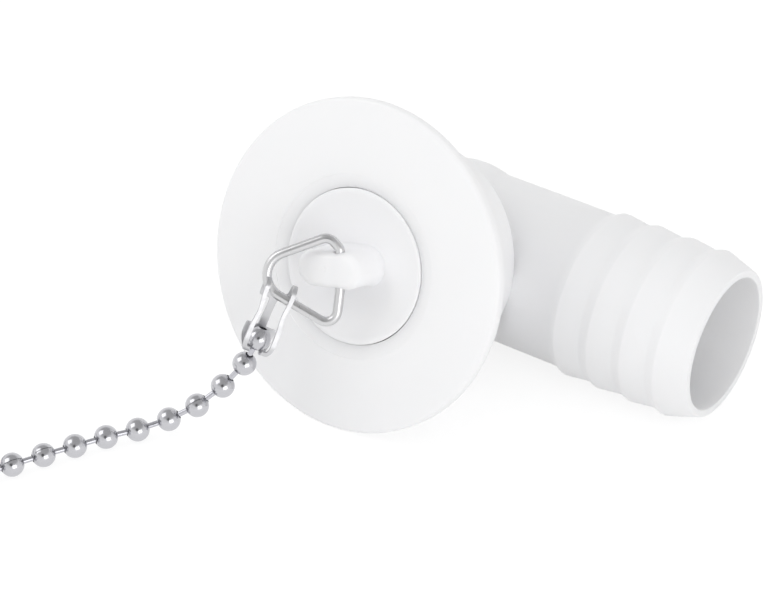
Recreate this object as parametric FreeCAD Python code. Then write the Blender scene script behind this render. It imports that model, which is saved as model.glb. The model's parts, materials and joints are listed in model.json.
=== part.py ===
import FreeCAD, Part
import math
import os

# A sink outlet elbow with its plug, the plug's wire bail and its ball chain, resting on its side.
# All lengths are in millimetres. The outlet is drawn face up about its own axis (z out of the face,
# x along the hose tail), then leaned over until it rests on its rim and its tail.

V = FreeCAD.Vector

# Flange and shank
FLANGE_RADIUS = 25.0
FLANGE_THICK = 2.0
FLANGE_EDGE_ROUND = 0.6
SHANK_RADIUS = 17.6
SHANK_DEPTH = 17.6
SHANK_EDGE = 0.5
WAY_RADIUS = 10.0

# Hose tail
TAIL_DEPTH = 29.8
TAIL_LENGTH = 47.9
TAIL_RADIUS = 12.4
BARB_RADIUS = 13.1
BARB_VALLEY_RADIUS = 12.6
BARB_FIRST = 26.0
BARB_PITCH = 5.63
BARB_COUNT = 4
BARB_RISE = 1.4
BARB_LAND = 0.3
MOUTH_RADIUS = 11.6
MOUTH_ROUND = 0.2
BORE_RADIUS = 10.4
TAIL_STUB = 1.0

# Seat in the face and the plug
SEAT_RADIUS = 13.8
SEAT_DEPTH = 0.6
SOCKET_RADIUS = 11.75
SOCKET_DEPTH = 9.0
SOCKET_TAPER = 0.7
PLUG_CLEARANCE = 0.06
PLUG_LEDGE_GAP = 0.03
PLUG_RIM_WIDTH = 0.8
PLUG_DISH_DEPTH = 1.8
PLUG_FLOOR = 1.6
PLUG_SKIRT = 1.4

# Lug on the plug
LUG_TURN = 13.6
LUG_LENGTH = 14.0
LUG_WIDTH = 5.5
LUG_TOP = 4.4
LUG_CORNER = 2.2
LUG_EDGE_ROUND = 0.8
LUG_HOLE_HEIGHT = 3.1

# Wire bail
WIRE_RADIUS = 0.72
WIRE_CLEARANCE = 0.08
BAIL_LIFT = 30.0
BAIL_SHORT_END = 4.96
BAIL_SHORT_END_OUT = 1.56
BAIL_LONG_END = 8.76
BAIL_LONG_END_OUT = 0.66
BAIL_REACH = 15.3
BAIL_APEX_SIDE = -0.2
BAIL_STUB_GAP = 0.3
BEND_STUB = 0.9
BEND_SHORT = 1.6
BEND_APEX = 2.3
BEND_LONG = 1.7

# Chain coupling, a folded strip
STRIP = 0.3
CUP_CLEARANCE = 0.15
LOOP_CLEARANCE = 0.23
COUPLING_WIDTH = 4.8
RIBBON_WIDTH = 1.05
BACK_RIBBON_WIDTH = 1.4
BACK_BAR = 1.2
SLOT_BELOW = 1.2
SLOT_OVER = 0.5
BACK_CUT_FROM = 1.2
PIN_SLOT_ROOM = 0.66
PIN_SLOT_BACK = 1.3
PIN_SLOT_TOP = 0.5
LOOP_ROOM = 0.05
COUPLING_FROM_APEX = 7.1
HANG_LENGTH = 7.2
HANG_HEADING = 256.0
HANG_DIP = 58.5

# Ball chain
BEAD_RADIUS = 1.8
BEAD_WALL = 0.25
BEAD_HOLE = 0.62
BEAD_PITCH = 4.86
PIN_RADIUS = 0.42
PIN_HEAD = 0.74
PIN_PLAY = 0.18
LINK_HEADINGS = [226.0, 231.0, 233.3, 222.2, 230.2, 236.0, 240.7, 240.6, 241.9]
LINK_DIPS = [61.6, 45.0, 33.2, 26.8]
SHOWN_BEADS = 10
BEAD_COUNT = 41
LEAD_LINKS = 4
COIL_RADIUS = 19.5
COIL_STEP = 4.6
TURN_IN = [42.0, 42.0]

# Ring at the end of the chain
RING_WIRE = 0.6
RING_RADIUS = 4.6

# Derived sizes
PLUG_RADIUS = SOCKET_RADIUS - PLUG_CLEARANCE
LUG_HOLE = WIRE_RADIUS + WIRE_CLEARANCE
BEAD_INSIDE = BEAD_RADIUS - BEAD_WALL
CUP_INSIDE = BEAD_RADIUS + CUP_CLEARANCE
LOOP_INSIDE = WIRE_RADIUS + LOOP_CLEARANCE
# The pin's head stands this far from the middle of its bead, clear of the rim of the hole
HOLE_RIM = math.sqrt(BEAD_INSIDE ** 2 - BEAD_HOLE ** 2)
HEAD_OUT = HOLE_RIM - math.sqrt(PIN_HEAD ** 2 - BEAD_HOLE ** 2) - PIN_PLAY

# The lean: the back edge of the rim and the crests of the tail touch the floor together
lean_a = FLANGE_RADIUS - FLANGE_EDGE_ROUND
lean_b = TAIL_DEPTH - FLANGE_THICK + FLANGE_EDGE_ROUND
lean_c = BARB_RADIUS - FLANGE_EDGE_ROUND
LEAN = math.acos(lean_c / math.hypot(lean_a, lean_b)) - math.atan2(lean_b, lean_a)
FACE_HEIGHT = TAIL_DEPTH * math.sin(LEAN) + BARB_RADIUS


def rad(degrees):
    return degrees * math.pi / 180.0


def heading(turn, dip):
    """A unit vector that points at a turn about the vertical and dips below level."""
    flat = math.cos(rad(dip))
    return V(flat * math.cos(rad(turn)), flat * math.sin(rad(turn)), -math.sin(rad(dip)))


def leaned(shape):
    """Lean a shape drawn about the outlet's own axis into its place on the floor."""
    turned = shape.copy()
    turned.rotate(V(0, 0, 0), V(1, 0, 0), 90.0 - math.degrees(LEAN))
    turned.translate(V(0, 0, FACE_HEIGHT))
    return turned


def leaned_vector(v):
    """The same turn for a direction."""
    c = math.cos(LEAN)
    s = math.sin(LEAN)
    return V(v.x, v.y * s - v.z * c, v.y * c + v.z * s)


def leaned_point(p):
    return leaned_vector(p) + V(0, 0, FACE_HEIGHT)


def revolved(points, origin, axis):
    """A full turn of a closed outline; a point of three marks the middle of an arc."""
    edges = []
    start = points[0]
    index = 1
    while index < len(points):
        here = points[index]
        if len(here) == 3:
            end = points[index + 1]
            edges.append(Part.Arc(at(start), at(here), at(end)).toShape())
            start = end
            index += 2
        else:
            edges.append(Part.LineSegment(at(start), at(here)).toShape())
            start = here
            index += 1
    edges.append(Part.LineSegment(at(start), at(points[0])).toShape())
    face = Part.Face(Part.Wire(edges))
    return face.revolve(origin, axis, 360.0)


def at(point):
    """Outlines are drawn in the x z plane as distance out and height."""
    return V(point[0], 0, point[1])


def round_middle(cx, cz, radius, angle):
    return (cx + radius * math.cos(rad(angle)), cz + radius * math.sin(rad(angle)), 1)


def socket_radius(depth):
    """The tapered wall of the socket at a depth below the face."""
    share = (depth - SEAT_DEPTH) / (SOCKET_DEPTH - SEAT_DEPTH)
    return SOCKET_RADIUS - SOCKET_TAPER * share


def tail_outline():
    """Out along the tail, as a list of distance along and radius."""
    outline = [(0.0, 0.0), (0.0, TAIL_RADIUS + 0.06), (BARB_FIRST - BARB_RISE, TAIL_RADIUS)]
    for number in range(BARB_COUNT):
        peak = BARB_FIRST + number * BARB_PITCH
        if number > 0:
            outline.append((peak - BARB_RISE, BARB_VALLEY_RADIUS))
        outline.append((peak, BARB_RADIUS))
        outline.append((peak + BARB_LAND, BARB_RADIUS))
    outline.append((TAIL_LENGTH - MOUTH_ROUND, MOUTH_RADIUS))
    outline.append((TAIL_LENGTH, MOUTH_RADIUS - MOUTH_ROUND))
    outline.append((TAIL_LENGTH, 0.0))
    return outline


def make_outlet():
    e = FLANGE_EDGE_ROUND
    r = FLANGE_RADIUS
    t = FLANGE_THICK
    body = [(0, 0), (r - e, 0), round_middle(r - e, -e, e, 45), (r, -e), (r, e - t),
            round_middle(r - e, e - t, e, -45), (r - e, -t), (SHANK_RADIUS, -t),
            (SHANK_RADIUS, SHANK_EDGE - SHANK_DEPTH), (SHANK_RADIUS - SHANK_EDGE, -SHANK_DEPTH),
            (BARB_RADIUS, -SHANK_DEPTH), (BARB_RADIUS, -TAIL_DEPTH), (0, -TAIL_DEPTH)]
    solid = revolved(body, V(0, 0, 0), V(0, 0, 1))
    solid = solid.fuse(Part.makeSphere(BARB_RADIUS, V(0, 0, -TAIL_DEPTH)))
    tail = revolved(tail_outline(), V(0, 0, 0), V(1, 0, 0))
    tail.translate(V(0, 0, -TAIL_DEPTH))
    solid = solid.fuse(tail).removeSplitter()
    hollow = [(0, 1.0), (SEAT_RADIUS + 1.0, 1.0), (SEAT_RADIUS, 0), (SOCKET_RADIUS, -SEAT_DEPTH),
              (socket_radius(SOCKET_DEPTH), -SOCKET_DEPTH), (WAY_RADIUS, -SOCKET_DEPTH),
              (WAY_RADIUS, -TAIL_DEPTH), (0, -TAIL_DEPTH)]
    cavity = revolved(hollow, V(0, 0, 0), V(0, 0, 1))
    # The mould's two cores meet in the elbow; the long one steps down where the tail leaves the body
    cavity = cavity.fuse(Part.makeSphere(WAY_RADIUS, V(0, 0, -TAIL_DEPTH)))
    stub_end = SHANK_RADIUS + TAIL_STUB
    way = revolved([(0, 0), (0, WAY_RADIUS), (stub_end, WAY_RADIUS), (stub_end, BORE_RADIUS),
                    (TAIL_LENGTH + 2, BORE_RADIUS), (TAIL_LENGTH + 2, 0)], V(0, 0, 0), V(1, 0, 0))
    way.translate(V(0, 0, -TAIL_DEPTH))
    moulding = solid.cut(cavity.fuse(way).removeSplitter()).removeSplitter()
    # One moulding, kept as two solids that meet face to face at that step
    top = (BARB_RADIUS - TAIL_DEPTH - FLANGE_THICK) / 2
    foot = -TAIL_DEPTH - 2 * BARB_RADIUS
    beyond = Part.makeBox(TAIL_LENGTH, 4 * BARB_RADIUS, top - foot, V(stub_end, -2 * BARB_RADIUS, foot))
    return moulding.cut(beyond), moulding.common(beyond)


def lug_axes():
    along = V(math.cos(rad(LUG_TURN)), math.sin(rad(LUG_TURN)), 0)
    across = V(-math.sin(rad(LUG_TURN)), math.cos(rad(LUG_TURN)), 0)
    return along, across


def make_plug():
    top = -SEAT_DEPTH
    bottom = -SOCKET_DEPTH + PLUG_LEDGE_GAP
    rim = PLUG_RADIUS - PLUG_RIM_WIDTH
    dish = (rim ** 2 + PLUG_DISH_DEPTH ** 2) / (2 * PLUG_DISH_DEPTH)
    half = rim / 2
    sag = PLUG_DISH_DEPTH - (dish - math.sqrt(dish ** 2 - half ** 2))
    floor = top - PLUG_DISH_DEPTH - PLUG_FLOOR
    foot = socket_radius(-bottom) - PLUG_CLEARANCE
    waist = socket_radius(-floor) - PLUG_CLEARANCE
    points = [(0, top - PLUG_DISH_DEPTH), (half, top - sag, 1), (rim, top),
              (PLUG_RADIUS - 0.2, top), (PLUG_RADIUS, top - 0.2), (foot, bottom),
              (foot - PLUG_SKIRT, bottom), (waist - PLUG_SKIRT, floor), (0, floor)]
    solid = revolved(points, V(0, 0, 0), V(0, 0, 1))
    base = top - PLUG_DISH_DEPTH - 0.6
    lug = Part.makeBox(LUG_LENGTH, LUG_WIDTH, LUG_TOP - base, V(-LUG_LENGTH / 2, -LUG_WIDTH / 2, base))
    upright = []
    crown = []
    for edge in lug.Edges:
        ends = [vertex.Point for vertex in edge.Vertexes]
        if abs(ends[0].z - ends[1].z) > 1:
            upright.append(edge)
    lug = lug.makeFillet(LUG_CORNER, upright)
    for edge in lug.Edges:
        if edge.BoundBox.ZMin > LUG_TOP - 0.01:
            crown.append(edge)
    lug = lug.makeFillet(LUG_EDGE_ROUND, crown)
    lug.rotate(V(0, 0, 0), V(0, 0, 1), LUG_TURN)
    solid = solid.fuse(lug).removeSplitter()
    along, across = lug_axes()
    start = V(0, 0, LUG_HOLE_HEIGHT) - across * LUG_WIDTH
    hole = Part.makeCylinder(LUG_HOLE, 2 * LUG_WIDTH, start, across)
    return solid.cut(hole)


def bail_frame():
    """The bail's hinge line and the way its reach points, about the outlet's own axis."""
    along, across = lug_axes()
    reach = along * -math.cos(rad(BAIL_LIFT)) + V(0, 0, math.sin(rad(BAIL_LIFT)))
    return V(0, 0, LUG_HOLE_HEIGHT), reach, across


def bail_corners():
    """Corners of the wire's centreline as reach, place across, and bend radius."""
    stub = LUG_WIDTH / 2 + BEND_STUB * 0.4
    gap = BAIL_STUB_GAP / 2
    return [(0, gap, 0), (0, stub, BEND_STUB), (BAIL_SHORT_END_OUT, BAIL_SHORT_END, BEND_SHORT),
            (BAIL_REACH, BAIL_APEX_SIDE, BEND_APEX), (BAIL_LONG_END_OUT, -BAIL_LONG_END, BEND_LONG),
            (0, -stub, BEND_STUB), (0, -gap, 0)]


def bent_path(points, radii):
    """Straight runs joined by round bends."""
    edges = []
    start = points[0]
    for index in range(1, len(points) - 1):
        corner = points[index]
        back = (points[index - 1] - corner).normalize()
        on = (points[index + 1] - corner).normalize()
        half = back.getAngle(on) / 2
        run = radii[index] / math.tan(half)
        first = corner + back * run
        last = corner + on * run
        inward = (back + on).normalize()
        middle = corner + inward * (radii[index] / math.sin(half) - radii[index])
        edges.append(Part.LineSegment(start, first).toShape())
        edges.append(Part.Arc(first, middle, last).toShape())
        start = last
    edges.append(Part.LineSegment(start, points[-1]).toShape())
    return Part.Wire(edges)


def make_bail():
    origin, reach, across = bail_frame()
    corners = bail_corners()
    points = [origin + reach * c[0] + across * c[1] for c in corners]
    path = bent_path(points, [c[2] for c in corners])
    section = Part.Wire(Part.Circle(points[0], across, WIRE_RADIUS).toShape())
    return path.makePipeShell([section], True, False)


def bail_hang_point():
    """The place on the bail's long side where the coupling hangs, and the wire's way there."""
    origin, reach, across = bail_frame()
    apex = origin + reach * BAIL_REACH + across * BAIL_APEX_SIDE
    end = origin + reach * BAIL_LONG_END_OUT - across * BAIL_LONG_END
    way = (end - apex).normalize()
    return leaned_point(apex + way * COUPLING_FROM_APEX), leaned_vector(way)


def coupling_frame(bead, target, wire_way):
    """Width, front and length directions of a coupling from its bead to the wire it hangs on."""
    length = (target - bead).normalize()
    width = (wire_way - length * wire_way.dot(length)).normalize()
    return width, length.cross(width), length


def placed(shape, origin, x, y, z):
    """Put a shape drawn about the origin onto three directions."""
    matrix = FreeCAD.Matrix(x.x, y.x, z.x, origin.x, x.y, y.y, z.y, origin.y,
                            x.z, y.z, z.z, origin.z, 0, 0, 0, 1)
    copy = shape.copy()
    copy.Placement = FreeCAD.Placement(matrix)
    return copy


def teardrop(big, small, height, width):
    """A block whose outline is a big circle and a small one above it, joined by tangents."""
    tilt = math.asin((big - small) / height)
    c = math.cos(tilt)
    s = math.sin(tilt)
    x = -width / 2
    low_right = V(x, big * c, big * s)
    high_right = V(x, small * c, height + small * s)
    low_left = V(x, -big * c, big * s)
    high_left = V(x, -small * c, height + small * s)
    edges = [Part.Arc(low_left, V(x, 0, -big), low_right).toShape(),
             Part.LineSegment(low_right, high_right).toShape(),
             Part.Arc(high_right, V(x, 0, height + small), high_left).toShape(),
             Part.LineSegment(high_left, low_left).toShape()]
    return Part.Face(Part.Wire(edges)).extrude(V(width, 0, 0))


def make_coupling(inside_loop, loop_height):
    """A strip folded round the end bead, with two ribbons that pass over the wire.

    Drawn with its width on x, its front on y and its length on z, about the bead's middle.
    """
    width = COUPLING_WIDTH
    solid = teardrop(CUP_INSIDE + STRIP, inside_loop + STRIP, loop_height, width)
    solid = solid.cut(teardrop(CUP_INSIDE, inside_loop, loop_height, 2 * width))
    top = loop_height + inside_loop + 2 * STRIP
    deep = 2 * (CUP_INSIDE + STRIP)
    slot = width - 2 * RIBBON_WIDTH
    # The long slot in the front, over the top and a little way down the back
    front = Part.makeBox(slot, deep, top + SLOT_BELOW, V(-slot / 2, 0, -SLOT_BELOW))
    back_top = Part.makeBox(slot, deep, top, V(-slot / 2, -deep, loop_height - SLOT_OVER))
    solid = solid.cut(front.fuse(back_top))
    # The back keeps a bar across and a narrow ribbon down to the cup
    side = width / 2
    tall = loop_height - SLOT_OVER - BACK_BAR - BACK_CUT_FROM
    for x in (BACK_RIBBON_WIDTH / 2, -BACK_RIBBON_WIDTH / 2 - side):
        solid = solid.cut(Part.makeBox(side, deep, tall, V(x, -deep - inside_loop / 2, BACK_CUT_FROM)))
    # The slot in the cup that the chain's first pin comes through
    way = 2 * PIN_RADIUS + PIN_SLOT_ROOM
    solid = solid.cut(Part.makeBox(way, deep + PIN_SLOT_BACK, deep,
                                   V(-way / 2, -PIN_SLOT_BACK, -deep - PIN_SLOT_TOP)))
    return solid


def make_bead(centre, ways):
    """A hollow bead with a hole on each way out."""
    solid = Part.makeSphere(BEAD_RADIUS, centre)
    solid = solid.cut(Part.makeSphere(BEAD_INSIDE, centre))
    for way in ways:
        solid = solid.cut(Part.makeCylinder(BEAD_HOLE, BEAD_RADIUS + 1, centre, way))
    return solid


def make_pin(first, second):
    """A pin with a ball head at each end, one in each of two neighbouring beads."""
    way = (second - first).normalize()
    start = first + way * HEAD_OUT
    length = (second - first).Length - 2 * HEAD_OUT
    reach = math.sqrt(PIN_HEAD ** 2 - PIN_RADIUS ** 2)
    outline = [(-PIN_HEAD, 0), (0, PIN_HEAD, 1), (reach, PIN_RADIUS), (length - reach, PIN_RADIUS),
               (length, PIN_HEAD, 1), (length + PIN_HEAD, 0)]
    side = V(0, 0, 1).cross(way).normalize()
    return placed(revolved(outline, V(0, 0, 0), V(1, 0, 0)), start, way, side, way.cross(side))


def chain_centres(start):
    """Bead centres: down from the coupling to the floor, along it, and round into a coil."""
    centres = [start]
    for number, turn in enumerate(LINK_HEADINGS):
        drop = (centres[-1].z - BEAD_RADIUS) / BEAD_PITCH
        dip = LINK_DIPS[number] if number < len(LINK_DIPS) else 24.0
        if drop < math.sin(rad(dip)):
            dip = math.degrees(math.asin(max(0.0, drop)))
        centres.append(centres[-1] + heading(turn, dip) * BEAD_PITCH)
    last = heading(LINK_HEADINGS[-1], 0)
    for number in range(LEAD_LINKS):
        centres.append(centres[-1] + last * BEAD_PITCH)
    # The coil turns to the right about a point beside the end of the lead
    right = V(last.y, -last.x, 0)
    middle = centres[-1] + right * COIL_RADIUS
    angle = math.atan2(-right.y, -right.x)
    radius = COIL_RADIUS
    while len(centres) < BEAD_COUNT - len(TURN_IN):
        step = 2 * math.asin(BEAD_PITCH / (2 * radius))
        for attempt in range(6):
            there = radius - COIL_STEP * step / (2 * math.pi)
            chord = math.sqrt(radius ** 2 + there ** 2 - 2 * radius * there * math.cos(step))
            step *= BEAD_PITCH / chord
        radius -= COIL_STEP * step / (2 * math.pi)
        angle -= step
        centres.append(middle + V(radius * math.cos(angle), radius * math.sin(angle), 0))
    # The end turns in to leave room for its fitting inside the coil
    for turn in TURN_IN:
        way = centres[-1] - centres[-2]
        ahead = math.degrees(math.atan2(way.y, way.x)) - turn
        centres.append(centres[-1] + heading(ahead, 0) * BEAD_PITCH)
    return centres


def make_rest(centres):
    """The unseen part of the chain, drawn as one piece; its first bead is hollow."""
    way_in = (SHOWN_LAST - centres[0]).normalize()
    solid = make_bead(centres[0], [way_in])
    for index in range(1, len(centres)):
        way = centres[index] - centres[index - 1]
        start = centres[index - 1] + way.normalize() * (BEAD_RADIUS - 0.2)
        length = (centres[index] - centres[index - 1]).Length - 2 * (BEAD_RADIUS - 0.2)
        shank = Part.makeCylinder(PIN_RADIUS, length, start, way)
        solid = solid.fuse([shank, Part.makeSphere(BEAD_RADIUS, centres[index])])
    return solid


# Everything is placed on the floor
outlet_parts = make_outlet()
outlet = leaned(outlet_parts[0])
tail = leaned(outlet_parts[1])
plug = leaned(make_plug())
bail = leaned(make_bail())
hang_point, wire_way = bail_hang_point()
first_bead = hang_point + heading(HANG_HEADING, HANG_DIP) * HANG_LENGTH
width_way, front_way, length_way = coupling_frame(first_bead, hang_point, wire_way)
skew = abs(wire_way.dot(length_way)) * COUPLING_WIDTH / 2
loop_height = HANG_LENGTH + max(0.0, skew - LOOP_CLEARANCE) + LOOP_ROOM
coupling = placed(make_coupling(LOOP_INSIDE, loop_height), first_bead, width_way, front_way, length_way)

beads = chain_centres(first_bead)
# The last bead sits in the end coupling, which lies on its cup and its loops
cup_high = CUP_INSIDE + STRIP
loop_high = RING_WIRE + LOOP_CLEARANCE + STRIP
beads[-1] = V(beads[-1].x, beads[-1].y, cup_high)
SHOWN_LAST = beads[SHOWN_BEADS - 1]

nodes = {"outlet_body": outlet, "outlet_tail": tail, "drain_plug": plug, "plug_bail": bail,
         "chain_coupling": coupling}
for number in range(SHOWN_BEADS):
    here = beads[number]
    on = (beads[number + 1] - here).normalize()
    back = length_way if number == 0 else (beads[number - 1] - here).normalize()
    nodes["bead_%02d" % number] = make_bead(here, [on, back])
    nodes["pin_%02d" % number] = make_pin(here, beads[number + 1])
nodes["chain_rest"] = make_rest(beads[SHOWN_BEADS:])

end_bead = beads[-1]
end_flat = V(end_bead.x - beads[-2].x, end_bead.y - beads[-2].y, 0).normalize()
end_height = HANG_LENGTH
end_loop = RING_WIRE + LOOP_CLEARANCE
# The loops reach past the ring's inner side where it curves away at their outer edges
ring_inner = math.sqrt((RING_RADIUS - RING_WIRE) ** 2 - (COUPLING_WIDTH / 2) ** 2)
ring_sag = RING_RADIUS - ring_inner + 2 * LOOP_ROOM - end_loop
end_dip = math.asin((cup_high - loop_high) / (end_height + ring_sag))
end_length = (end_flat * math.cos(end_dip) + V(0, 0, -math.sin(end_dip))).normalize()
end_width = V(-end_flat.y, end_flat.x, 0)
end_front = end_length.cross(end_width)
nodes["end_coupling"] = placed(make_coupling(end_loop, end_height + ring_sag), end_bead,
                               end_width, end_front, end_length)
ring_near = end_bead + end_length * end_height
ring_near.z -= LOOP_ROOM
ring_slope = math.asin((ring_near.z - RING_WIRE) / (2 * RING_RADIUS))
ring_way = (end_flat * math.cos(ring_slope) + V(0, 0, -math.sin(ring_slope))).normalize()
ring_centre = ring_near + ring_way * RING_RADIUS
ring_normal = end_width.cross(ring_way)
nodes["end_ring"] = Part.makeTorus(RING_RADIUS, RING_WIRE, ring_centre, ring_normal)

# The middle of the footprint becomes the origin
whole = Part.makeCompound(list(nodes.values()))
box = whole.optimalBoundingBox(False, False)
shift = V(-(box.XMin + box.XMax) / 2, -(box.YMin + box.YMax) / 2, -box.ZMin)

os.makedirs("parts", exist_ok=True)
for name, shape in nodes.items():
    moved = shape.copy()
    moved.translate(shift)
    if not moved.isValid() or moved.Volume <= 0:
        print("check this node:", name, moved.isValid(), moved.Volume)
    moved.exportStep("parts/" + name + ".step")

# What the record needs, in millimetres
print("box", round(box.XLength, 3), round(box.YLength, 3), round(box.ZLength, 3))
print("shift", [round(x, 4) for x in shift])
print("lean", round(math.degrees(LEAN), 4), "face height", round(FACE_HEIGHT, 4))
print("face normal", [round(x, 6) for x in leaned_vector(V(0, 0, 1))])
print("bail pivot", [round(x, 4) for x in leaned_point(V(0, 0, LUG_HOLE_HEIGHT)) + shift])
print("bail axis", [round(x, 6) for x in leaned_vector(lug_axes()[1])])
print("hang point", [round(x, 4) for x in hang_point + shift])
print("wire way", [round(x, 6) for x in wire_way])
print("width way", [round(x, 6) for x in width_way])
print("front way", [round(x, 6) for x in front_way])
print("length way", [round(x, 6) for x in length_way])
for number, centre in enumerate(beads):
    print("bead", number, [round(x, 4) for x in centre + shift])
print("end width", [round(x, 6) for x in end_width])
print("end length", [round(x, 6) for x in end_length])
print("ring near", [round(x, 4) for x in ring_near + shift])
print("ring centre", [round(x, 4) for x in ring_centre + shift])
print("ring normal", [round(x, 6) for x in ring_normal])
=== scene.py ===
# %% [markdown]
# A white plastic sink outlet lies on its side with its plug, a wire bail and a ball chain. This lesson
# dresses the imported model: the plastic gets the soft sheen of injection moulding, and the small steel
# parts get the dark and bright bands that polished metal shows on a white table.

# %% Load the frame
import json
import math

import bmesh
import bpy
from mathutils import Matrix, Vector


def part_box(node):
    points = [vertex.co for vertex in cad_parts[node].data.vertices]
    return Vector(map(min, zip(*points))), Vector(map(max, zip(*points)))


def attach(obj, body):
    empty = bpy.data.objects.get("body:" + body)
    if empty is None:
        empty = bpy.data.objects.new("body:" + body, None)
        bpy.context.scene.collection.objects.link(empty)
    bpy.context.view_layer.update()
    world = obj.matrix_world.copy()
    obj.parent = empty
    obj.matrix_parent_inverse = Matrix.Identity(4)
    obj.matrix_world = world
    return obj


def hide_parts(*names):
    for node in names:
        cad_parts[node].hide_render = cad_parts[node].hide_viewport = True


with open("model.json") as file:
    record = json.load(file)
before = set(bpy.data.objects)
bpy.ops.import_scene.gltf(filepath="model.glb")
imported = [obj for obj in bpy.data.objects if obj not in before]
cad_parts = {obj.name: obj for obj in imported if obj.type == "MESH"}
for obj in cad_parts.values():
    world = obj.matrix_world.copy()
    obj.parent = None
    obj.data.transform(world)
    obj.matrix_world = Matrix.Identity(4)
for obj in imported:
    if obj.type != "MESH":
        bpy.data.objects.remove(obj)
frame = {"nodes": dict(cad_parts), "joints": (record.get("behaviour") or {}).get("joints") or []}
nodes = frame["nodes"]
joints = {joint["name"]: joint for joint in frame["joints"]}
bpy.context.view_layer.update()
scene = bpy.context.scene
scene.view_settings.view_transform = "Standard"
MM = 0.001

# %% [markdown]
# The camera comes first. The photograph was taken from far away with a long lens, 36 degrees down, so
# the flange's circle is nearly a true ellipse. The place was fitted to the rim, the barbs and the chain.

# %% Camera
CAMERA_PLACE = Vector((187.2, -216.6, 225.4)) * MM
CAMERA_AIM = Vector((3.93, 39.2, 0.0)) * MM
CAMERA_ROLL = math.radians(0.48)
CAMERA_LENS = 110.8

view = (CAMERA_AIM - CAMERA_PLACE).normalized()
bpy.ops.object.camera_add(location=CAMERA_PLACE)
camera = bpy.context.object
camera.name = "camera"
camera.data.lens = CAMERA_LENS
camera.data.sensor_width = 36.0
camera.data.clip_start = 0.01
turn = view.to_track_quat("-Z", "Y")
roll = Matrix.Rotation(-CAMERA_ROLL, 4, "Z").to_quaternion()
camera.rotation_euler = (turn @ roll).to_euler()
scene.camera = camera

# %% [markdown]
# Materials come next, because every piece is dressed as soon as it is made. Plastic and steel are described
# by a few numbers each: colour, roughness, and how much light goes in and comes out again.

# %% Helpers for materials


def linear(code, alpha=1.0):
    """An sRGB hex code as the linear colour that a shader wants."""
    channels = []
    for start in (1, 3, 5):
        value = int(code[start:start + 2], 16) / 255
        channels.append(value / 12.92 if value <= 0.04045 else ((value + 0.055) / 1.055) ** 2.4)
    return (*channels, alpha)


def add_node(tree, kind, settings=None, links=None, **attributes):
    """Adds a node, sets its attributes and sockets, and links sockets from other nodes."""
    node = tree.nodes.new(kind)
    for name, value in attributes.items():
        setattr(node, name, value)
    for name, value in (settings or {}).items():
        node.inputs[name].default_value = value
    for name, source in (links or {}).items():
        tree.links.new(source, node.inputs[name])
    return node


def new_material(name):
    material = bpy.data.materials.new(name)
    material.use_nodes = True
    tree = material.node_tree
    tree.nodes.clear()
    output = add_node(tree, "ShaderNodeOutputMaterial")
    return material, tree, output


def dress(piece, material):
    piece.data.materials.clear()
    piece.data.materials.append(material)


# %% White plastic
PLASTIC_WHITE = "#fafafb"
PLASTIC_SHADE = "#f6f6f8"


def moulded_plastic(name, colour, shade, roughness, glow_depth):
    """Polypropylene, injection moulded: a milky white with a faint satin skin."""
    material, tree, output = new_material(name)
    place = add_node(tree, "ShaderNodeTexCoord")
    mottle = add_node(tree, "ShaderNodeTexNoise", {"Scale": 60.0, "Detail": 3.0},
                      {"Vector": place.outputs["Object"]})
    tint = add_node(tree, "ShaderNodeMix", {"A": linear(colour), "B": linear(shade)},
                    {"Factor": mottle.outputs["Fac"]}, data_type="RGBA")
    grain = add_node(tree, "ShaderNodeTexNoise", {"Scale": 2500.0, "Detail": 2.0},
                     {"Vector": place.outputs["Object"]})
    bump = add_node(tree, "ShaderNodeBump", {"Strength": 0.06, "Distance": 0.0001},
                    {"Height": grain.outputs["Fac"]})
    skin = add_node(tree, "ShaderNodeBsdfPrincipled",
                    {"Roughness": roughness, "IOR": 1.49, "Subsurface Weight": 0.5,
                     "Subsurface Radius": (1.0, 0.97, 0.94), "Subsurface Scale": glow_depth},
                    {"Base Color": tint.outputs["Result"], "Normal": bump.outputs["Normal"]})
    tree.links.new(skin.outputs["BSDF"], output.inputs["Surface"])
    return material


outlet_plastic = moulded_plastic("moulded_polypropylene", PLASTIC_WHITE, PLASTIC_SHADE, 0.42, 0.004)
plug_plastic = moulded_plastic("moulded_plug_polyethylene", "#fcfcfd", "#f8f8fb", 0.4, 0.0008)


# %% Steel
def bright_steel(name, colour, roughness):
    """Nickel plated steel, bright rolled: grey mirror with a little haze."""
    material, tree, output = new_material(name)
    place = add_node(tree, "ShaderNodeTexCoord")
    haze = add_node(tree, "ShaderNodeTexNoise", {"Scale": 900.0, "Detail": 3.0},
                    {"Vector": place.outputs["Object"]})
    spread = add_node(tree, "ShaderNodeMapRange", {"To Min": roughness * 0.7, "To Max": roughness * 1.3},
                      {"Value": haze.outputs["Fac"]})
    metal = add_node(tree, "ShaderNodeBsdfPrincipled",
                     {"Base Color": linear(colour), "Metallic": 1.0},
                     {"Roughness": spread.outputs["Result"]})
    tree.links.new(metal.outputs["BSDF"], output.inputs["Surface"])
    return material


bead_steel = bright_steel("nickel_plated_bead", "#c6c6ca", 0.2)
pin_steel = bright_steel("nickel_plated_pin", "#c4c4ca", 0.24)
strip_steel = bright_steel("rolled_steel_strip", "#cdcdcf", 0.42)
wire_steel = bright_steel("drawn_steel_wire", "#d2d2d3", 0.3)

# %% Dress the CAD nodes
for name, piece in nodes.items():
    if name.startswith("bead") or name == "chain_rest":
        dress(piece, bead_steel)
    elif name.startswith("pin"):
        dress(piece, pin_steel)
    elif name.endswith("coupling"):
        dress(piece, strip_steel)
    elif name in ("plug_bail", "end_ring"):
        dress(piece, wire_steel)
    elif name == "drain_plug":
        dress(piece, plug_plastic)
    else:
        dress(piece, outlet_plastic)

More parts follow.
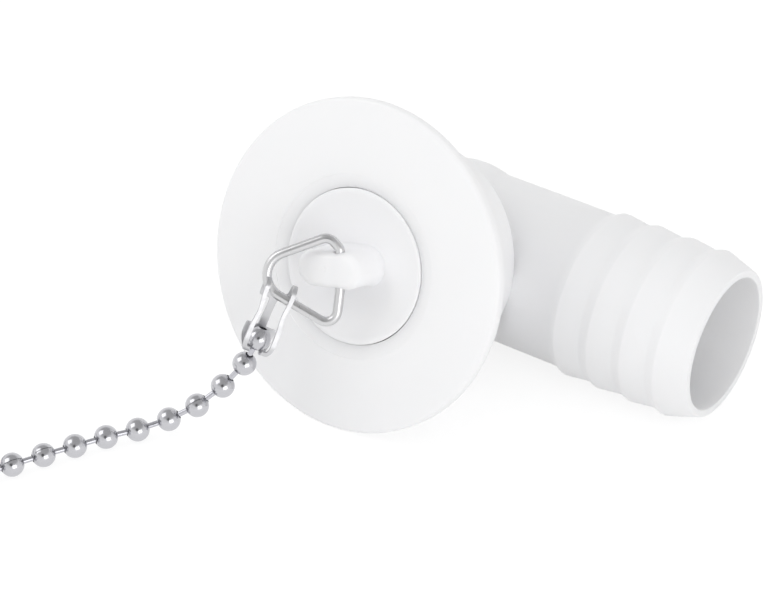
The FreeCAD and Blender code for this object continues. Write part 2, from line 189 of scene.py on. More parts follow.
# %% [markdown]
# Round pieces are turned, as on a lathe: one circle is extruded and scaled ring by ring along a short
# profile. A maker's drawing gives the same profile, so each number is a real radius or height.

# %% Helpers for modelling


def deselect():
    bpy.ops.object.select_all(action="DESELECT")


def activate(piece):
    deselect()
    piece.select_set(True)
    bpy.context.view_layer.objects.active = piece


def turned(name, profile, sides, ring=False):
    """A piece of revolution about Z from (radius, height) pairs in mm. A ring closes on itself."""
    radius, height = profile[0]
    deselect()
    bpy.ops.mesh.primitive_circle_add(vertices=sides, radius=radius * MM, location=(0, 0, height * MM))
    piece = bpy.context.object
    piece.name = name
    bpy.ops.object.transform_apply()
    bpy.ops.object.mode_set(mode="EDIT")
    bpy.ops.mesh.select_all(action="SELECT")
    for next_radius, next_height in profile[1:]:
        rise = (0, 0, (next_height - height) * MM)
        bpy.ops.mesh.extrude_region_move(TRANSFORM_OT_translate={"value": rise})
        grow = next_radius / radius
        bpy.ops.transform.resize(value=(grow, grow, 1), center_override=(0, 0, next_height * MM))
        radius, height = next_radius, next_height
    bpy.ops.mesh.select_all(action="SELECT")
    if ring:
        bpy.ops.mesh.select_all(action="DESELECT")
        bpy.ops.mesh.select_non_manifold()
        bpy.ops.mesh.bridge_edge_loops()
    else:
        bpy.ops.mesh.fill_holes(sides=0)
    bpy.ops.mesh.select_all(action="SELECT")
    bpy.ops.mesh.remove_doubles(threshold=0.000001)
    bpy.ops.mesh.normals_make_consistent(inside=False)
    bpy.ops.object.mode_set(mode="OBJECT")
    return piece


def place(piece, matrix):
    """Moves the mesh, so that the object itself stays at the origin."""
    activate(piece)
    piece.matrix_world = matrix @ piece.matrix_world
    bpy.ops.object.transform_apply()
    return piece


def combine(piece, other, operation):
    """Joins or cuts with another closed piece, which is then gone."""
    activate(piece)
    modifier = piece.modifiers.new("join", "BOOLEAN")
    modifier.solver = "EXACT"
    modifier.operation = operation
    modifier.object = other
    bpy.ops.object.modifier_apply(modifier="join")
    bpy.data.objects.remove(other)
    return piece


def smooth(piece, degrees):
    activate(piece)
    bpy.ops.object.shade_smooth_by_angle(angle=math.radians(degrees))
    return piece


def hand_in(piece, body, slot_name, material, *stands_for):
    """The finished piece rides on its body and takes the place of its CAD nodes."""
    dress(piece, material)
    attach(piece, body)
    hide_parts(*stands_for)
    print(piece.name, "faces", len(piece.data.polygons))


def arc(middle_radius, middle_height, bend, start, end, steps):
    """Points of a round corner in a profile, angles in degrees from straight outwards."""
    points = []
    for step in range(steps + 1):
        angle = math.radians(start + (end - start) * step / steps)
        points.append((middle_radius + bend * math.cos(angle), middle_height + bend * math.sin(angle)))
    return points


# %% The outlet's own axes
LUG_HOLE_HEIGHT = 3.1
face_way = Vector(joints["plug_pull"]["axis"])
tail_way = Vector((1, 0, 0))
side_way = face_way.cross(tail_way)
lug_pivot = Vector(joints["bail_swing"]["pos_m"])
face_middle = lug_pivot - face_way * LUG_HOLE_HEIGHT * MM


def axes_matrix(x, y, z, origin):
    columns = Matrix((x, y, z)).transposed().to_4x4()
    columns.translation = origin
    return columns


on_face = axes_matrix(tail_way, side_way, face_way, face_middle)
print("lean in degrees", round(90 - math.degrees(face_way.angle(Vector((0, 0, 1)))), 2))

# %% [markdown]
# The outlet is one moulding. Its flange and shank are turned about one axis and its barbed tail about
# another, with a ball where they meet. The walls are joined first and the water way is cut after.

# %% Outlet sizes in mm
FLANGE_RADIUS = 25.0
FLANGE_THICK = 2.0
EDGE_ROUND = 0.6
SHANK_RADIUS = 17.6
SHANK_DEPTH = 17.6
TAIL_DEPTH = 29.8
TAIL_LENGTH = 47.9
TAIL_RADIUS = 12.4
BARB_RADIUS = 13.1
BARB_VALLEY = 12.6
BARB_FIRST = 26.0
BARB_PITCH = 5.63
BARB_COUNT = 4
BARB_RISE = 1.4
BARB_LAND = 0.3
MOUTH_RADIUS = 11.6
BORE_RADIUS = 10.4
WAY_RADIUS = 10.0
TAIL_START = 18.6
SEAT_RADIUS = 13.8
SEAT_DEPTH = 0.6
SOCKET_RADIUS = 11.75
SOCKET_DEPTH = 9.0
SOCKET_TAPER = 0.7
WITNESS_DEPTH = 0.07
LEAD_IN = 0.04
LEAD_IN_DEPTH = 0.3

# %% Outlet outside
rim = FLANGE_RADIUS - EDGE_ROUND
profile = [(BARB_RADIUS, -TAIL_DEPTH), (BARB_RADIUS, -SHANK_DEPTH - 0.4)]
profile += [(BARB_RADIUS + 0.12, -SHANK_DEPTH - 0.12), (BARB_RADIUS + 0.4, -SHANK_DEPTH)]
profile += arc(SHANK_RADIUS - 0.5, 0.5 - SHANK_DEPTH, 0.5, -90, 0, 5)
profile += arc(SHANK_RADIUS + 0.5, -FLANGE_THICK - 0.5, 0.5, 180, 90, 5)
profile += arc(rim, EDGE_ROUND - FLANGE_THICK, EDGE_ROUND, -90, 0, 6)
profile += arc(rim, -EDGE_ROUND, EDGE_ROUND, 0, 90, 6)
profile += [(20.0, 0.0), (SEAT_RADIUS - 2.0, 0.0)]
outlet = turned("outlet_moulding", profile, 160)

profile = [(TAIL_RADIUS + 0.06, 0.0), (TAIL_RADIUS, BARB_FIRST - BARB_RISE)]
for number in range(BARB_COUNT):
    peak = BARB_FIRST + number * BARB_PITCH
    if number:
        profile += [(BARB_VALLEY + 0.02, peak - BARB_RISE - 0.3), (BARB_VALLEY, peak - BARB_RISE)]
    profile += [(BARB_RADIUS - 0.06, peak - 0.15), (BARB_RADIUS, peak), (BARB_RADIUS, peak + BARB_LAND)]
profile += arc(MOUTH_RADIUS - 0.2, TAIL_LENGTH - 0.2, 0.2, 20, 90, 4)
tail = turned("tail", profile, 128)
along_tail = axes_matrix(Vector((0, 0, -1)), Vector((0, 1, 0)), Vector((1, 0, 0)),
                         Vector((0, 0, -TAIL_DEPTH * MM)))
place(tail, along_tail)
bpy.ops.mesh.primitive_uv_sphere_add(segments=128, ring_count=64, radius=BARB_RADIUS * MM,
                                     location=(0, 0, -TAIL_DEPTH * MM))
heel = bpy.context.object
bpy.ops.object.transform_apply()
combine(outlet, heel, "UNION")
combine(outlet, tail, "UNION")

# %% Outlet water way
way = turned("water_way", [(WAY_RADIUS, -TAIL_DEPTH), (WAY_RADIUS, -SOCKET_DEPTH + 1.0)], 160)
profile = [(WAY_RADIUS, 0.0), (WAY_RADIUS, TAIL_START), (BORE_RADIUS, TAIL_START)]
profile += [(BORE_RADIUS, TAIL_LENGTH - 0.1), (BORE_RADIUS + 0.1, TAIL_LENGTH)]
profile += [(BORE_RADIUS + 0.1, TAIL_LENGTH + 1.0)]
hose_way = place(turned("hose_way", profile, 128), along_tail)
bpy.ops.mesh.primitive_uv_sphere_add(segments=128, ring_count=64, radius=(WAY_RADIUS + 0.004) * MM,
                                     location=(0, 0, -TAIL_DEPTH * MM))
bend = bpy.context.object
bpy.ops.object.transform_apply()
foot = SOCKET_RADIUS - SOCKET_TAPER
lead = SOCKET_RADIUS + LEAD_IN
profile = [(foot, -SOCKET_DEPTH), (SOCKET_RADIUS, -SEAT_DEPTH - LEAD_IN_DEPTH - 0.1)]
profile += [(lead, -SEAT_DEPTH - LEAD_IN_DEPTH), (lead, -SEAT_DEPTH), (SEAT_RADIUS - 0.1, -WITNESS_DEPTH)]
profile += [(SEAT_RADIUS, -WITNESS_DEPTH), (SEAT_RADIUS + 0.5, 1.0)]
seat = turned("seat", profile, 160)
for cutter in (hose_way, way, bend, seat):
    combine(outlet, cutter, "DIFFERENCE")
print("outlet rises above its face by mm", round(max(point.co.z for point in outlet.data.vertices) / MM, 3))
place(outlet, on_face)
smooth(outlet, 28)
hand_in(outlet, "outlet", "white_outlet", outlet_plastic, "outlet_body", "outlet_tail")

# %% [markdown]
# The plug is a hollow tapered cup with a shallow dish on top, and a lug for the wire stands in the dish.
# The lug grows ring by ring from one outline: it flares out of the dish, and its crown is round.

# %% Plug
PLUG_CLEARANCE = 0.06
PLUG_PROUD = 0.2
PLUG_RIM = 0.8
PLUG_DISH = 1.8
PLUG_FLOOR = 1.6
PLUG_SKIRT = 1.4
plug_radius = SOCKET_RADIUS - PLUG_CLEARANCE
plug_bottom = -SOCKET_DEPTH + 0.03
plug_foot = plug_radius - SOCKET_TAPER
dish_edge = plug_radius - PLUG_RIM
dish_bend = (dish_edge ** 2 + PLUG_DISH ** 2) / (2 * PLUG_DISH)
floor_height = -SEAT_DEPTH - PLUG_DISH - PLUG_FLOOR


def dish_height(radius):
    return -SEAT_DEPTH - PLUG_DISH + dish_bend - math.sqrt(dish_bend ** 2 - radius ** 2)


profile = [(0.5, floor_height), (plug_foot - PLUG_SKIRT + 0.4, floor_height)]
profile += [(plug_foot - PLUG_SKIRT, plug_bottom), (plug_foot, plug_bottom)]
top = PLUG_PROUD - SEAT_DEPTH
profile += arc(plug_radius - 0.1, top - 0.1, 0.1, 0, 90, 4)
profile += [(dish_edge + 0.5, top), (dish_edge + 0.1, top - 0.06), (dish_edge - 0.2, -SEAT_DEPTH - 0.02)]
for step in range(1, 12):
    radius = (dish_edge - 0.4) * (1 - step / 11) + 0.4 * step / 11
    profile.append((radius, dish_height(radius)))
plug = turned("plug_cup", profile, 128)

# %% Lug
LUG_TURN = 13.6
LUG_LENGTH = 11.2
LUG_SHIFT = -1.4
LUG_WIDTH = 5.5
LUG_TOP = 4.4
LUG_FLARE = 0.9
LUG_FLARE_TALL = 1.6
LUG_DRAFT = 0.05
LUG_CROWN = 1.1
LUG_HOLE = 0.8
lug_base = -SEAT_DEPTH - PLUG_DISH - 0.4
end_round = LUG_WIDTH / 2

# Outline of the lug: a circle whose two halves are drawn apart
deselect()
bpy.ops.mesh.primitive_circle_add(vertices=64, radius=end_round * MM, location=(0, 0, lug_base * MM))
lug = bpy.context.object
bpy.ops.object.transform_apply()
for side in (-1, 1):
    bpy.ops.object.mode_set(mode="EDIT")
    bpy.ops.mesh.select_all(action="DESELECT")
    mesh = bmesh.from_edit_mesh(lug.data)
    for point in mesh.verts:
        point.select = point.co.x * side > 0.01 * MM
    mesh.select_flush(True)
    bmesh.update_edit_mesh(lug.data)
    bpy.ops.transform.translate(value=(side * (LUG_LENGTH / 2 - end_round) * MM, 0, 0))
    bpy.ops.object.mode_set(mode="OBJECT")

# Rings of the lug as (growth of the outline, height): flare, draft, crown
rings = []
for step in range(7):
    angle = math.radians(90 * step / 6)
    rings.append((LUG_FLARE * (1 - math.sin(angle)), lug_base + 0.3 + LUG_FLARE_TALL * (1 - math.cos(angle))))
for step in range(9):
    angle = math.radians(90 * step / 8)
    rings.append((LUG_CROWN * (math.cos(angle) - 1) - LUG_DRAFT, LUG_TOP - LUG_CROWN * (1 - math.sin(angle))))
bpy.ops.object.mode_set(mode="EDIT")
bpy.ops.mesh.select_all(action="SELECT")
size_x, size_y, height = LUG_LENGTH / 2, end_round, lug_base
bpy.ops.transform.resize(value=(1 + LUG_FLARE / size_x, 1 + LUG_FLARE / size_y, 1),
                         center_override=(0, 0, height * MM))
size_x, size_y = size_x + LUG_FLARE, size_y + LUG_FLARE
for growth, next_height in rings:
    next_x, next_y = LUG_LENGTH / 2 + growth, end_round + growth
    bpy.ops.mesh.extrude_region_move(TRANSFORM_OT_translate={"value": (0, 0, (next_height - height) * MM)})
    bpy.ops.transform.resize(value=(next_x / size_x, next_y / size_y, 1),
                             center_override=(0, 0, next_height * MM))
    size_x, size_y, height = next_x, next_y, next_height
bpy.ops.mesh.select_all(action="SELECT")
bpy.ops.mesh.fill_holes(sides=0)
bpy.ops.mesh.normals_make_consistent(inside=False)
bpy.ops.object.mode_set(mode="OBJECT")
place(lug, Matrix.Rotation(math.radians(LUG_TURN), 4, "Z") @ Matrix.Translation((LUG_SHIFT * MM, 0, 0)))
combine(plug, lug, "UNION")
bpy.ops.mesh.primitive_cylinder_add(vertices=32, radius=LUG_HOLE * MM, depth=2 * LUG_WIDTH * MM,
                                    location=(0, 0, LUG_HOLE_HEIGHT * MM),
                                    rotation=(math.radians(90), 0, math.radians(LUG_TURN)))
drill = bpy.context.object
bpy.ops.object.transform_apply()
combine(plug, drill, "DIFFERENCE")
gate = turned("gate_mark", [(0.5, LUG_TOP - 0.3), (0.46, LUG_TOP + 0.03), (0.3, LUG_TOP + 0.05), (0.22, LUG_TOP + 0.0)], 24)
place(gate, Matrix.Rotation(math.radians(LUG_TURN), 4, "Z") @ Matrix.Translation((-1.7 * MM, 0.2 * MM, 0)))
combine(plug, gate, "UNION")
place(plug, on_face @ Matrix.Translation((-0.05 * MM, -0.01 * MM, 0)))
smooth(plug, 32)
hand_in(plug, "plug", "white_plug", plug_plastic, "drain_plug")

# %% [markdown]
# The bail is one piece of hard wire, bent round a jig. A curve with a round section follows its corners,
# and each corner is a pair of points whose handles make a true arc. The curve then becomes a mesh.

# %% Bail
WIRE_RADIUS = 0.72
BAIL_LIFT = 30.0
BAIL_CORNERS = [(0, 0.15, 0), (0, 3.11, 0.9), (1.56, 4.96, 1.6), (15.3, -0.2, 3.5),
                (0.66, -8.76, 1.7), (0, -3.11, 0.9), (0, -0.15, 0)]
lug_way = (tail_way * math.cos(math.radians(LUG_TURN)) + side_way * math.sin(math.radians(LUG_TURN)))
hinge_way = Vector(joints["bail_swing"]["axis"])
lift = math.radians(BAIL_LIFT)
reach_way = face_way * math.sin(lift) - lug_way * math.cos(lift)


def bent_wire(name, corners, wire_radius):
    """A round wire along corners, each with the radius of its bend."""
    places = [corner for corner, bend in corners]
    knots = [(places[0], places[0], places[0])]
    for index in range(1, len(corners) - 1):
        corner, bend = corners[index]
        back = (places[index - 1] - corner).normalized()
        on = (places[index + 1] - corner).normalized()
        half = back.angle(on) / 2
        run = bend * MM / math.tan(half)
        reach = bend * MM * 4 / 3 * math.tan((math.pi / 2 - half) / 2)
        first = corner + back * run
        last = corner + on * run
        knots.append((first, first + back * reach / 3, first - back * reach))
        knots.append((last, last - on * reach, last + on * reach / 3))
    knots.append((places[-1], places[-1], places[-1]))
    deselect()
    bpy.ops.curve.primitive_bezier_curve_add()
    wire = bpy.context.object
    wire.name = name
    spline = wire.data.splines[0]
    spline.bezier_points.add(len(knots) - 2)
    for point, (knot, left, right) in zip(spline.bezier_points, knots):
        point.handle_left_type = "FREE"
        point.handle_right_type = "FREE"
        point.co, point.handle_left, point.handle_right = knot, left, right
    wire.data.bevel_depth = wire_radius * MM
    wire.data.bevel_resolution = 8
    wire.data.resolution_u = 12
    wire.data.use_fill_caps = True
    bpy.ops.object.convert(target="MESH")
    wire = bpy.context.object
    bpy.ops.object.mode_set(mode="EDIT")
    bpy.ops.mesh.select_all(action="SELECT")
    bpy.ops.mesh.remove_doubles(threshold=0.000001)
    bpy.ops.mesh.normals_make_consistent(inside=False)
    bpy.ops.object.mode_set(mode="OBJECT")
    return wire


corners = [(lug_pivot + (reach_way * out + hinge_way * side) * MM, bend)
           for out, side, bend in BAIL_CORNERS]
bail = bent_wire("bail_wire", corners, WIRE_RADIUS)
smooth(bail, 40)
hand_in(bail, "bail", "wire_steel", wire_steel, "plug_bail")

# %% [markdown]
# Each bead is a little hollow ball with a fine slit, and dumbbell pins join them. One bead and one pin are
# made, and each copy of the bead is drilled along its own two links, so that no pin cuts its rim.

# %% Bead and pin
BEAD_RADIUS = 1.8
BEAD_INSIDE = 1.55
BEAD_HOLE = 0.62
BEAD_SLIT = 0.09
PIN_RADIUS = 0.42
PIN_HEAD = 0.74
HEAD_OUT = 0.837
SHOWN_BEADS = 10
BEAD_SPINS = [200, 150, 240, 60, 170, 230, 190, 250, 70, 60]

deselect()
bpy.ops.mesh.primitive_uv_sphere_add(segments=32, ring_count=16, radius=BEAD_INSIDE * MM, location=(0, 0, 0))
hollow = bpy.context.object
bpy.ops.mesh.primitive_uv_sphere_add(segments=40, ring_count=20, radius=BEAD_RADIUS * MM, location=(0, 0, 0))
bead_model = bpy.context.object
bead_model.name = "bead_model"
bpy.ops.object.transform_apply()
combine(bead_model, hollow, "DIFFERENCE")
bpy.ops.mesh.primitive_cube_add(size=1, location=(BEAD_RADIUS * MM, 0, 0),
                                scale=(BEAD_RADIUS * MM, BEAD_SLIT * MM, 1.5 * BEAD_RADIUS * MM))
slit = bpy.context.object
bpy.ops.object.transform_apply()
combine(bead_model, slit, "DIFFERENCE")
drill_model = turned("drill_model", [(BEAD_HOLE, 0.3), (BEAD_HOLE, 2 * BEAD_RADIUS)], 24)


def middle_of(node):
    low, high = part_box(node)
    return (Vector(low) + Vector(high)) / 2


def along(piece, origin, way, spin=0.0):
    """Lays a piece that was turned about Z on a line, spun about it by so many degrees."""
    lie = way.to_track_quat("Z", "Y").to_matrix().to_4x4()
    return place(piece, Matrix.Translation(origin) @ lie @ Matrix.Rotation(math.radians(spin), 4, "Z"))


def copy_of(model, name):
    piece = model.copy()
    piece.data = model.data.copy()
    piece.name = name
    scene.collection.objects.link(piece)
    return piece


def drilled_bead(name, before, here, after, spin):
    """A bead whose two holes look along its own two links, with its slit turned by spin degrees."""
    bead = along(copy_of(bead_model, name), here, after - before, spin)
    for way in (after - here, before - here):
        combine(bead, along(copy_of(drill_model, "drill"), here, way), "DIFFERENCE")
    return smooth(bead, 40)


beads = [middle_of("bead_%02d" % number) for number in range(SHOWN_BEADS)]
last_pin = middle_of("pin_%02d" % (SHOWN_BEADS - 1))
beads.append(beads[-1] + (last_pin - beads[-1]) * 2)
reach = (beads[1] - beads[0]).length / MM - 2 * HEAD_OUT
cup = math.degrees(math.asin(PIN_RADIUS / PIN_HEAD))
profile = arc(0, 0, PIN_HEAD, -84, 90 - cup, 8)
profile += arc(0, reach, PIN_HEAD, cup - 90, 84, 8)
pin_model = smooth(turned("pin_model", profile, 20), 40)
hang_point = Vector(joints["coupling_swing"]["pos_m"])
for number in range(SHOWN_BEADS):
    here = beads[number]
    before = beads[number - 1] if number else hang_point
    bead = drilled_bead("chain_bead_%02d" % number, before, here, beads[number + 1], BEAD_SPINS[number])
    hand_in(bead, "link_%02d" % number, "bead_steel", bead_steel, "bead_%02d" % number)
    way = beads[number + 1] - here
    pin = copy_of(pin_model, "chain_pin_%02d" % number)
    along(pin, here + way.normalized() * HEAD_OUT * MM, way)
    hand_in(pin, "link_%02d" % number, "pin_steel", pin_steel, "pin_%02d" % number)

# %% [markdown]
# The coupling is stamped from thin strip and folded: a cup holds the first bead, and two ribbons pass over
# the wire. One vertex is drawn out into a row across the strip, and the row is extruded along the fold.
# Faces are deleted for the slots, and subdivision rounds the corners as a press tool does.

# %% Folded coupling
STRIP = 0.3
CUP_MIDDLE = 1.8 + 0.15 + STRIP / 2
COLUMNS = [-2.4, -2.05, -1.7, -1.05, -0.65, 0.0, 0.65, 1.05, 1.7, 2.05, 2.4]
FRONT_SLOT = 1.5
BACK_RIBBON = 0.65
PIN_SLOT = 0.95
BACK_BAR = 1.2
PIN_SLOT_BACK = 2.4
LOOP_REACH = 0.6
LOOP_SLACK = 0.45
LOOP_YAW = 12.0


def fold_path(loop_middle, height):
    """The side view of the fold: round the cup, up the front, over the loop and down the back."""
    tilt = math.asin((CUP_MIDDLE - loop_middle) / height)
    path = []
    for step in range(13):
        angle = -math.pi / 2 + (tilt + math.pi / 2) * step / 12
        path.append((CUP_MIDDLE * math.cos(angle), CUP_MIDDLE * math.sin(angle)))
    foot = path[-1]
    knee = (loop_middle * math.cos(tilt), height + loop_middle * math.sin(tilt))
    for step in range(1, 13):
        path.append((foot[0] + (knee[0] - foot[0]) * step / 12, foot[1] + (knee[1] - foot[1]) * step / 12))
    for step in range(1, 9):
        angle = tilt + (math.pi / 2 - tilt) * step / 8
        path.append((loop_middle * math.cos(angle), height + loop_middle * math.sin(angle)))
    back = [(-out, up) for out, up in reversed(path[:-1])]
    return path + back


def strip_width(up, height):
    """Share of the full width: round the cup, waisted above it, full again at the loops."""
    if up < 0:
        return 1 - 0.28 * (up / CUP_MIDDLE) ** 2
    waist = math.exp(-((up - 0.58 * height) / 1.6) ** 2)
    return 1 - 0.13 * waist


def folded_coupling(name, loop_middle, height):
    path = fold_path(loop_middle, height)
    out, up = path[0]
    deselect()
    bpy.ops.mesh.primitive_plane_add(size=0.001, location=(0, 0, 0))
    piece = bpy.context.object
    piece.name = name
    bpy.ops.object.mode_set(mode="EDIT")
    bpy.ops.mesh.select_mode(type="VERT")
    bpy.ops.mesh.select_all(action="SELECT")
    bpy.ops.mesh.merge(type="CENTER")
    share = strip_width(up, height)
    bpy.ops.transform.translate(value=(COLUMNS[0] * share * MM, out * MM, up * MM))
    for before, column in zip(COLUMNS, COLUMNS[1:]):
        bpy.ops.mesh.extrude_region_move(TRANSFORM_OT_translate={"value": ((column - before) * share * MM, 0, 0)})
    bpy.ops.mesh.select_all(action="SELECT")
    for next_out, next_up in path[1:]:
        bpy.ops.mesh.extrude_region_move(
            TRANSFORM_OT_translate={"value": (0, (next_out - out) * MM, (next_up - up) * MM)})
        grow = strip_width(next_up, height) / share
        bpy.ops.transform.resize(value=(grow, 1, 1), center_override=(0, 0, 0))
        share *= grow
        out, up = next_out, next_up
    bpy.ops.mesh.select_all(action="SELECT")
    bpy.ops.mesh.remove_doubles(threshold=0.00001)
    bpy.ops.mesh.normals_make_consistent(inside=False)
    bpy.ops.mesh.select_all(action="DESELECT")
    bpy.ops.mesh.select_mode(type="FACE")
    mesh = bmesh.from_edit_mesh(piece.data)
    for face in mesh.faces:
        place_now = face.calc_center_median() / MM
        share = strip_width(place_now.z, height)
        across = abs(place_now.x) / share
        front = place_now.y > 0
        face.select = (front and across < FRONT_SLOT and place_now.z > -1.2
                       or not front and across < FRONT_SLOT and place_now.z > height - 0.5
                       or not front and across > BACK_RIBBON and 1.2 < place_now.z < height - 0.5 - BACK_BAR
                       or across < PIN_SLOT and place_now.z < -0.3 and place_now.y > -PIN_SLOT_BACK)
    bmesh.update_edit_mesh(piece.data)
    bpy.ops.mesh.delete(type="FACE")
    bpy.ops.object.mode_set(mode="OBJECT")
    activate(piece)
    rounding = piece.modifiers.new("rounding", "SUBSURF")
    rounding.levels = 2
    rounding.render_levels = 2
    wall = piece.modifiers.new("wall", "SOLIDIFY")
    wall.thickness = STRIP * MM
    wall.offset = 0
    edge = piece.modifiers.new("edge", "BEVEL")
    edge.width = 0.05 * MM
    edge.segments = 2
    for modifier in ("rounding", "wall", "edge"):
        bpy.ops.object.modifier_apply(modifier=modifier)
    return smooth(piece, 35)


wire_way = Vector(joints["coupling_swing"]["axis"])
first_bead = beads[0]
length_way = (hang_point - first_bead).normalized()
width_way = (length_way * wire_way.dot(length_way) - wire_way).normalized()
front_way = length_way.cross(width_way)
width_way = (width_way * math.cos(math.radians(LOOP_YAW)) + front_way * math.sin(math.radians(LOOP_YAW)))
front_way = length_way.cross(width_way)
hang_height = (hang_point - first_bead).length / MM
skew = abs(wire_way.dot(length_way)) * COLUMNS[-1]
coupling = folded_coupling("coupling_strip", WIRE_RADIUS + LOOP_SLACK + STRIP / 2, hang_height + max(0, skew - 0.23) + LOOP_REACH)
place(coupling, axes_matrix(width_way, front_way, length_way, first_bead))
hand_in(coupling, "coupling", "strip_steel", strip_steel, "chain_coupling")

# %% [markdown]
# The chain's far end is put away as a flat coil beyond the picture. Its beads follow a spiral of straight
# links, worked out link by link, and copies of the one bead and one pin are joined into a single piece.

# %% Put away chain
BEAD_PITCH = 4.86
BEAD_COUNT = 41
LEAD_HEADING = 241.9
LEAD_LINKS = 4
COIL_RADIUS = 19.5
COIL_STEP = 4.6
TURN_IN = [42.0, 42.0]


def level_way(degrees):
    return Vector((math.cos(math.radians(degrees)), math.sin(math.radians(degrees)), 0))


def coil_places(start, count):
    """Bead centres from the first one past the picture to the last one, in mm."""
    lead = level_way(LEAD_HEADING)
    places = [start + lead * BEAD_PITCH * number for number in range(LEAD_LINKS)]
    right = Vector((lead.y, -lead.x, 0))
    middle = places[-1] + right * COIL_RADIUS
    angle = math.atan2(-right.y, -right.x)
    radius = COIL_RADIUS
    while len(places) < count - len(TURN_IN):
        step = 2 * math.asin(BEAD_PITCH / (2 * radius))
        for attempt in range(6):
            there = radius - COIL_STEP * step / (2 * math.pi)
            chord = math.sqrt(radius ** 2 + there ** 2 - 2 * radius * there * math.cos(step))
            step *= BEAD_PITCH / chord
        radius -= COIL_STEP * step / (2 * math.pi)
        angle -= step
        places.append(middle + Vector((math.cos(angle), math.sin(angle), 0)) * radius)
    for turn in TURN_IN:
        way = places[-1] - places[-2]
        places.append(places[-1] + level_way(math.degrees(math.atan2(way.y, way.x)) - turn) * BEAD_PITCH)
    return places


rest_beads = coil_places(beads[SHOWN_BEADS] / MM, BEAD_COUNT - SHOWN_BEADS)
end_bead = Vector(joints["end_swing"]["pos_m"])
rest_beads = [place_now * MM for place_now in rest_beads[:-1]] + [end_bead]
print("end bead is off by mm", round((rest_beads[-2] - end_bead).length / MM - BEAD_PITCH, 4))
rest = []
for number, here in enumerate(rest_beads):
    before = rest_beads[number - 1] if number else beads[SHOWN_BEADS - 1]
    after = rest_beads[number + 1] if number + 1 < len(rest_beads) else here * 2 - before
    rest.append(drilled_bead("rest_bead", before, here, after, number * 137.0))
    if number:
        rest.append(along(copy_of(pin_model, "rest_pin"), before + (here - before).normalized() * HEAD_OUT * MM,
                          here - before))
activate(rest[0])
for piece in rest[1:]:
    piece.select_set(True)
bpy.ops.object.join()
coil = bpy.context.object
coil.name = "chain_coil"
hand_in(coil, "chain_tail", "bead_steel", bead_steel, "chain_rest")
for model in (bead_model, drill_model, pin_model):
    bpy.data.objects.remove(model)

# %% [markdown]
# The chain ends in the same folded coupling and a ring bent from wire. The ring is spun from a circle and
# stops short of a full turn, because a real wire ring has a fine gap where its two ends meet.

# %% End coupling and ring
RING_WIRE = 0.6
RING_RADIUS = 4.6
HANG_LENGTH = 7.2
ring_middle = Vector(joints["ring_turn"]["pos_m"])
end_width = Vector(joints["end_swing"]["axis"])
end_loop = RING_WIRE + 0.23
ring_inner = math.sqrt((RING_RADIUS - RING_WIRE) ** 2 - COLUMNS[-1] ** 2)
ring_sag = RING_RADIUS - ring_inner + 0.1 - end_loop
end_flat = Vector((0, 0, 1)).cross(end_width).normalized() * -1
if (ring_middle - end_bead).dot(end_flat) < 0:
    end_flat.negate()
end_dip = math.asin((1.95 - end_loop) / (HANG_LENGTH + ring_sag))
end_length = end_flat * math.cos(end_dip) - Vector((0, 0, math.sin(end_dip)))
end_coupling = folded_coupling("end_coupling_strip", end_loop + STRIP / 2, HANG_LENGTH + ring_sag)
place(end_coupling, axes_matrix(end_width, end_length.cross(end_width), end_length, end_bead))
hand_in(end_coupling, "end_fitting", "strip_steel", strip_steel, "end_coupling")

deselect()
bpy.ops.mesh.primitive_circle_add(vertices=24, radius=RING_WIRE * MM, location=(RING_RADIUS * MM, 0, 0),
                                  rotation=(math.radians(90), 0, 0))
ring = bpy.context.object
ring.name = "end_ring_wire"
bpy.ops.object.transform_apply()
bpy.ops.object.mode_set(mode="EDIT")
bpy.ops.mesh.select_all(action="SELECT")
bpy.ops.mesh.spin(steps=120, angle=math.radians(358.4), center=(0, 0, 0), axis=(0, 0, 1))
bpy.ops.mesh.select_all(action="SELECT")
bpy.ops.mesh.fill_holes(sides=0)
bpy.ops.mesh.normals_make_consistent(inside=False)
bpy.ops.object.mode_set(mode="OBJECT")
smooth(ring, 40)
ring_normal = Vector(joints["ring_turn"]["axis"])
across = ring_normal.cross(end_flat).normalized()
place(ring, axes_matrix(end_flat, across, end_flat.cross(across).normalized(), ring_middle))
hand_in(ring, "ring", "wire_steel", wire_steel, "end_ring")

# %% [markdown]
# The table is white paper, as in a product photograph, and it melts into a white background. For the
# camera and for reflections the paper glows a little, so that it shows white and its shadow stays soft.

# %% Floor
FLOOR_HALF = 1.5
PAPER_GLOW = 0.8
PAPER_SHARE = 0.3

deselect()
bpy.ops.mesh.primitive_plane_add(size=2 * FLOOR_HALF)
floor = bpy.context.object
floor.name = "floor"
material, tree, output = new_material("white_paper")
paper = add_node(tree, "ShaderNodeBsdfDiffuse", {"Color": linear("#f3f3f3")})
seen_paper = add_node(tree, "ShaderNodeBsdfDiffuse", {"Color": (PAPER_SHARE, PAPER_SHARE, PAPER_SHARE, 1.0)})
glow = add_node(tree, "ShaderNodeEmission", {"Color": (1, 1, 1, 1), "Strength": PAPER_GLOW})
both = add_node(tree, "ShaderNodeAddShader")
tree.links.new(seen_paper.outputs["BSDF"], both.inputs[0])
tree.links.new(glow.outputs["Emission"], both.inputs[1])


def seen_rays(tree):
    """1 for rays of the camera, of reflections and through glass, 0 for light."""
    ray = add_node(tree, "ShaderNodeLightPath")
    first = add_node(tree, "ShaderNodeMath", {}, {0: ray.outputs["Is Camera Ray"], 1: ray.outputs["Is Glossy Ray"]},
                     operation="MAXIMUM")
    return add_node(tree, "ShaderNodeMath", {}, {0: first.outputs[0], 1: ray.outputs["Is Transmission Ray"]},
                    operation="MAXIMUM").outputs[0]


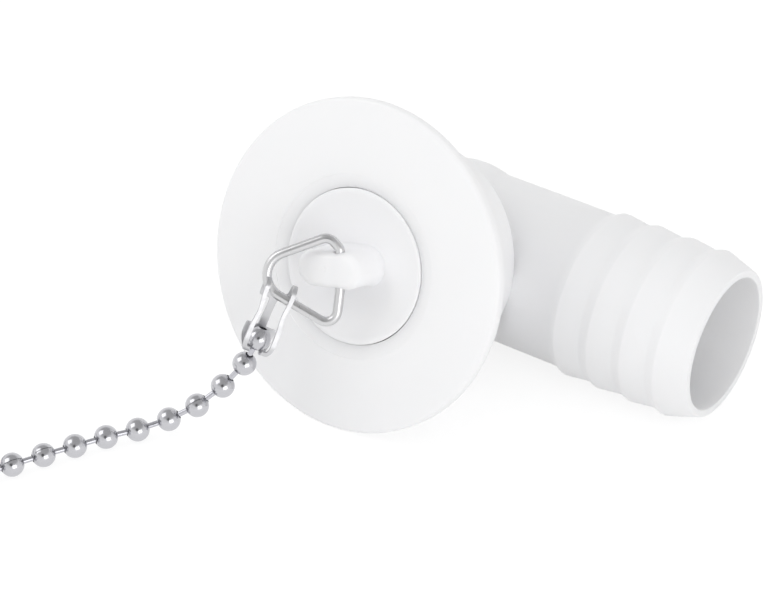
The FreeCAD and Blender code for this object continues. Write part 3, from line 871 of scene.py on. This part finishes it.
chosen = add_node(tree, "ShaderNodeMixShader", {}, {"Fac": seen_rays(tree)})
tree.links.new(paper.outputs["BSDF"], chosen.inputs[1])
tree.links.new(both.outputs["Shader"], chosen.inputs[2])
tree.links.new(chosen.outputs["Shader"], output.inputs["Surface"])
dress(floor, material)

# %% [markdown]
# The room lights the object evenly. What steel mirrors is another matter: it shows the white of the table
# and horizon, a greyer ceiling, and a dark patch around the lens.

# %% World
ROOM_LIGHT = 0.77
world = bpy.data.worlds.new("studio")
world.use_nodes = True
scene.world = world
tree = world.node_tree
tree.nodes.clear()
output = add_node(tree, "ShaderNodeOutputWorld")
light = add_node(tree, "ShaderNodeBackground", {"Color": (1, 1, 1, 1), "Strength": ROOM_LIGHT})
direction = add_node(tree, "ShaderNodeTexCoord").outputs["Generated"]
height = add_node(tree, "ShaderNodeSeparateXYZ", {}, {"Vector": direction}).outputs["Z"]
ceiling = add_node(tree, "ShaderNodeMapRange", {"From Min": 0.35, "From Max": 0.75, "To Min": 1.0, "To Max": 0.52},
                   {"Value": height}, interpolation_type="SMOOTHSTEP")
toward = add_node(tree, "ShaderNodeVectorMath", {1: -view}, {0: direction}, operation="DOT_PRODUCT")
figure = add_node(tree, "ShaderNodeMapRange", {"From Min": 0.95, "From Max": 0.985, "To Min": 1.0, "To Max": 0.12},
                  {"Value": toward.outputs["Value"]}, interpolation_type="SMOOTHSTEP")
mirrored = add_node(tree, "ShaderNodeMath", {}, {0: ceiling.outputs["Result"], 1: figure.outputs["Result"]},
                    operation="MULTIPLY")
shown = add_node(tree, "ShaderNodeBackground", {"Color": (1, 1, 1, 1)}, {"Strength": mirrored.outputs[0]})
both = add_node(tree, "ShaderNodeMixShader", {}, {"Fac": seen_rays(tree)})
tree.links.new(light.outputs["Background"], both.inputs[1])
tree.links.new(shown.outputs["Background"], both.inputs[2])
tree.links.new(both.outputs["Shader"], output.inputs["Surface"])


# %% Lamps
def soft_lamp(name, place, aim, size, watts):
    bpy.ops.object.light_add(type="AREA", location=Vector(place) * MM)
    lamp = bpy.context.object
    lamp.name = name
    lamp.data.size = size * MM
    lamp.data.energy = watts
    way = Vector(aim) * MM - Vector(place) * MM
    lamp.rotation_euler = way.to_track_quat("-Z", "Y").to_euler()
    return lamp


soft_lamp("key", (-350, -250, 500), (10, 0, 20), 420, 0.8)
soft_lamp("fill", (400, -190, 70), (40, 0, 20), 300, 0.5)
